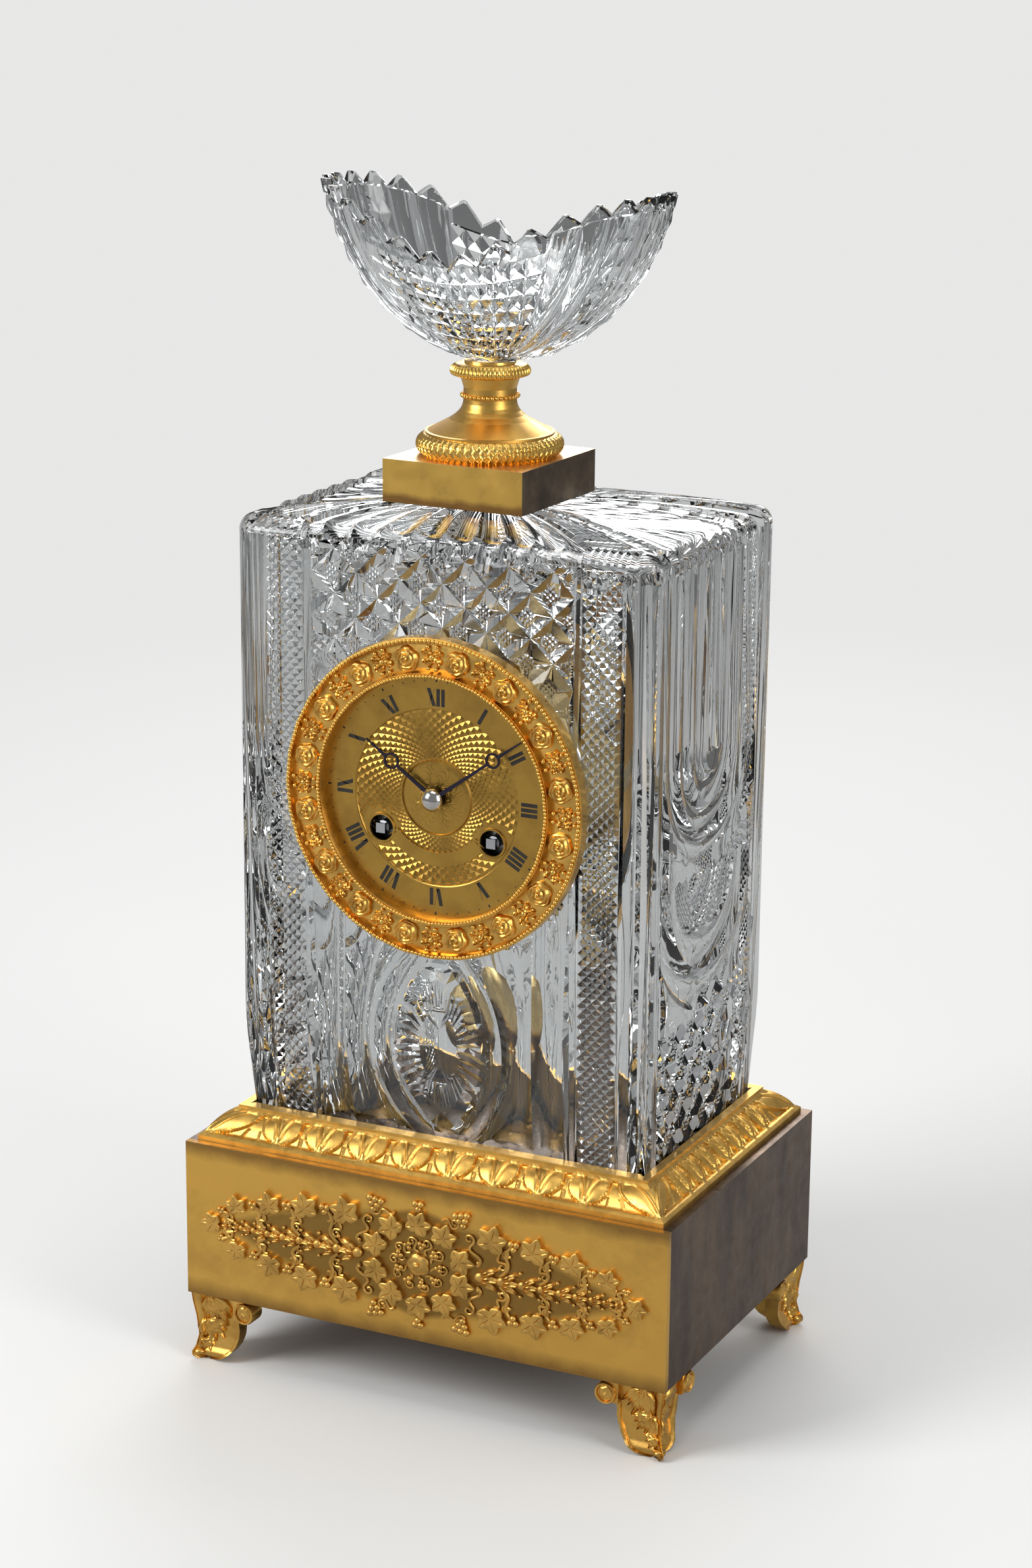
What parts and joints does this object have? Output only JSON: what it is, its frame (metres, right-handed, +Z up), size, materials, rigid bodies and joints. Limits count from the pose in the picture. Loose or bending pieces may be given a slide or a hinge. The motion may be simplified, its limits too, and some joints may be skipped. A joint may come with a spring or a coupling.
{
  "type": "mantel clock",
  "caption": "Mantel clock with a cut glass case on a gilt plinth with scroll feet, an engraved dial, a striking movement with silk pendulum, and a boat shaped cut glass bowl on top.",
  "frame": {"origin": "centre of the footprint, at the undersides of the feet", "axes": "+Z up, -Y towards the viewer of the dial, +X to the right of the dial"},
  "size_m": [0.22, 0.1574, 0.4945],
  "materials": {
    "gilt_bronze": "satin gilding, worn and stained",
    "dark_bronze": "dark patina",
    "oak": "plain",
    "cut_glass": "polished cut lead glass",
    "steel": "polished",
    "blued_steel": "blued",
    "bright_nut": "polished",
    "bell_metal": "polished",
    "silk": "thread",
    "movement_brass": "satin"
  },
  "bodies": {
    "case": {"plinth_front": "gilt_bronze", "plinth_back": "dark_bronze", "plinth_left": "dark_bronze", "plinth_right": "dark_bronze", "plinth_top": "gilt_bronze", "bottom_board": "oak", "moulding_frame": "gilt_bronze", "vine_mount": "gilt_bronze", "foot_front_left": "gilt_bronze", "foot_front_right": "gilt_bronze", "foot_back_left": "gilt_bronze", "foot_back_right": "gilt_bronze", "foot_screws": "steel", "crystal_case": "cut_glass", "front_bezel": "gilt_bronze", "dial_plate": "gilt_bronze", "drum": "movement_brass", "front_plate": "movement_brass", "back_plate": "movement_brass", "click_screws": "steel", "bell": "bell_metal", "bell_stand": "steel", "suspension_cock": "movement_brass", "silk_suspension": "silk", "rear_bezel": "gilt_bronze", "hinge_pin": "steel", "movement_straps": "movement_brass", "pedestal_block": "gilt_bronze", "stand_foot": "gilt_bronze", "laurel_ring": "gilt_bronze", "fluted_collar": "gilt_bronze", "crystal_bowl": "cut_glass", "central_bolt": "steel"},
    "going_barrel": {"going_barrel": "movement_brass"},
    "strike_barrel": {"strike_barrel": "movement_brass"},
    "going_winder": {"going_arbor": "steel"},
    "strike_winder": {"strike_arbor": "steel"},
    "going_click": {"going_click": "steel"},
    "strike_click": {"strike_click": "steel"},
    "intermediate": {"intermediate_wheel": "movement_brass"},
    "centre": {"centre_wheel": "movement_brass", "cannon_pinion": "steel", "minute_hand": "blued_steel", "hand_nut": "bright_nut"},
    "third": {"third_wheel": "movement_brass"},
    "escape": {"escape_wheel": "movement_brass"},
    "anchor": {"anchor": "steel"},
    "minute_work": {"minute_wheel": "movement_brass"},
    "hour_work": {"hour_wheel": "movement_brass", "hour_hand": "blued_steel"},
    "strike_second": {"strike_second_wheel": "movement_brass", "count_wheel": "movement_brass"},
    "strike_pin": {"strike_pin_wheel": "movement_brass"},
    "fly": {"fly": "movement_brass"},
    "hammer": {"hammer": "steel"},
    "pendulum": {"pendulum_rod": "movement_brass", "pendulum_bob": "movement_brass", "rating_nut": "movement_brass"},
    "door": {"back_door": "gilt_bronze"}
  },
  "joints": [
    {"name": "centre_arbor", "type": "hinge", "parent": "case", "child": "centre", "pos_m": [0, -0.02825, 0.2586], "axis": [0, 1, 0], "continuous": true},
    {"name": "intermediate_arbor", "type": "hinge", "parent": "case", "child": "intermediate", "pos_m": [0.01636, -0.02825, 0.26242], "axis": [0, 1, 0], "continuous": true},
    {"name": "going_barrel_turn", "type": "hinge", "parent": "case", "child": "going_barrel", "pos_m": [0.0246, -0.03825, 0.2431], "axis": [0, 1, 0], "continuous": true},
    {"name": "third_arbor", "type": "hinge", "parent": "case", "child": "third", "pos_m": [-0.00292, -0.02825, 0.27514], "axis": [0, 1, 0], "continuous": true},
    {"name": "escape_arbor", "type": "hinge", "parent": "case", "child": "escape", "pos_m": [0, -0.02825, 0.28955], "axis": [0, 1, 0], "continuous": true},
    {"name": "minute_wheel_turn", "type": "hinge", "parent": "case", "child": "minute_work", "pos_m": [0, -0.05425, 0.2442], "axis": [0, 1, 0], "continuous": true},
    {"name": "hour_wheel_turn", "type": "hinge", "parent": "case", "child": "hour_work", "pos_m": [0, -0.05825, 0.2586], "axis": [0, 1, 0], "continuous": true},
    {"name": "pendulum_swing", "type": "hinge", "parent": "case", "child": "pendulum", "pos_m": [0, -0.01025, 0.30105], "axis": [0, 1, 0], "range_deg": [-4, 4]},
    {"name": "anchor_swing", "type": "hinge", "parent": "case", "child": "anchor", "pos_m": [0, -0.02825, 0.30105], "axis": [0, 1, 0], "range_deg": [-4, 4]},
    {"name": "going_winding", "type": "hinge", "parent": "case", "child": "going_winder", "pos_m": [0.0246, -0.05825, 0.2431], "axis": [0, 1, 0], "continuous": true},
    {"name": "strike_winding", "type": "hinge", "parent": "case", "child": "strike_winder", "pos_m": [-0.0246, -0.05825, 0.2431], "axis": [0, 1, 0], "continuous": true},
    {"name": "going_click_lift", "type": "hinge", "parent": "case", "child": "going_click", "pos_m": [0.03536, -0.05325, 0.24116], "axis": [0, 1, 0], "range_deg": [-12, 0]},
    {"name": "strike_click_lift", "type": "hinge", "parent": "case", "child": "strike_click", "pos_m": [-0.03536, -0.05325, 0.24116], "axis": [0, 1, 0], "range_deg": [0, 12]},
    {"name": "strike_barrel_turn", "type": "hinge", "parent": "case", "child": "strike_barrel", "pos_m": [-0.0246, -0.03825, 0.2431], "axis": [0, 1, 0], "continuous": true},
    {"name": "strike_second_arbor", "type": "hinge", "parent": "case", "child": "strike_second", "pos_m": [-0.02095, -0.02825, 0.26378], "axis": [0, 1, 0], "continuous": true},
    {"name": "strike_pin_arbor", "type": "hinge", "parent": "case", "child": "strike_pin", "pos_m": [-0.02095, -0.02825, 0.27698], "axis": [0, 1, 0], "continuous": true},
    {"name": "fly_arbor", "type": "hinge", "parent": "case", "child": "fly", "pos_m": [-0.03005, -0.02825, 0.28223], "axis": [0, 1, 0], "continuous": true},
    {"name": "hammer_lift", "type": "hinge", "parent": "case", "child": "hammer", "pos_m": [-0.036, -0.02825, 0.2646], "axis": [0, 1, 0], "range_deg": [0, 12], "stiffness_Nm_per_rad": 0.02, "springref_deg": -14.32},
    {"name": "back_door_hinge", "type": "hinge", "parent": "case", "child": "door", "pos_m": [-0.055, 0.07025, 0.2586], "axis": [0, 0, 1], "range_deg": [0, 105]}
  ],
  "couplings": [
    {"joint": "intermediate_arbor", "follows": "centre_arbor", "ratio": -0.27273},
    {"joint": "going_barrel_turn", "follows": "centre_arbor", "ratio": 0.045455},
    {"joint": "third_arbor", "follows": "centre_arbor", "ratio": -6},
    {"joint": "escape_arbor", "follows": "centre_arbor", "ratio": 36},
    {"joint": "minute_wheel_turn", "follows": "centre_arbor", "ratio": -0.33333},
    {"joint": "hour_wheel_turn", "follows": "centre_arbor", "ratio": 0.083333},
    {"joint": "anchor_swing", "follows": "pendulum_swing", "ratio": 1},
    {"joint": "strike_second_arbor", "follows": "strike_barrel_turn", "ratio": -6},
    {"joint": "strike_pin_arbor", "follows": "strike_barrel_turn", "ratio": 27},
    {"joint": "fly_arbor", "follows": "strike_barrel_turn", "ratio": -108}
  ]
}
